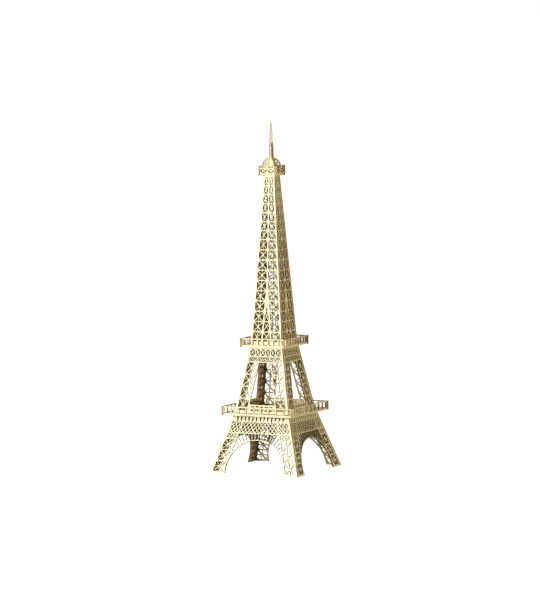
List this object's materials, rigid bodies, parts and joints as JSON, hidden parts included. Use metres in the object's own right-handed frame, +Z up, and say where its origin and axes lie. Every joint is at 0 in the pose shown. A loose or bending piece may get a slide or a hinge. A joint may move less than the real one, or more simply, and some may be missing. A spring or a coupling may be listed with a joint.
{
  "type": "lattice tower model",
  "caption": "Tapering wooden lattice tower souvenir on four arched legs, with two railed decks, a dome and a pointed spire, for display on a shelf.",
  "frame": {"origin": "middle of the base, on the surface that the feet stand on", "axes": "+Z up towards the spire, -Y through the front arch, +X towards the right-hand arch"},
  "size_m": [0.1416, 0.1416, 0.5012],
  "materials": {
    "panel_ply": "birch plywood sheet, sanded, laser cut",
    "rail_ply": "birch plywood sheet, sanded, laser cut",
    "deck_ply": "birch plywood sheet, sanded, laser cut",
    "spire_ply": "birch plywood sheet, sanded, laser cut"
  },
  "bodies": {
    "root": {"leg_panel_front": "panel_ply", "leg_panel_right": "panel_ply", "leg_panel_back": "panel_ply", "leg_panel_left": "panel_ply", "lower_deck": "deck_ply", "lower_rail_front": "rail_ply", "lower_rail_right": "rail_ply", "lower_rail_back": "rail_ply", "lower_rail_left": "rail_ply", "middle_panel_front": "panel_ply", "middle_panel_right": "panel_ply", "middle_panel_back": "panel_ply", "middle_panel_left": "panel_ply", "upper_deck": "deck_ply", "upper_rail_front": "rail_ply", "upper_rail_right": "rail_ply", "upper_rail_back": "rail_ply", "upper_rail_left": "rail_ply", "shaft_panel_front": "panel_ply", "shaft_panel_right": "panel_ply", "shaft_panel_back": "panel_ply", "shaft_panel_left": "panel_ply", "head_plate": "deck_ply", "head_rail_front": "rail_ply", "head_rail_right": "rail_ply", "head_rail_back": "rail_ply", "head_rail_left": "rail_ply", "spire_plate_whole": "spire_ply", "spire_plate_slotted": "spire_ply"}
  },
  "joints": []
}
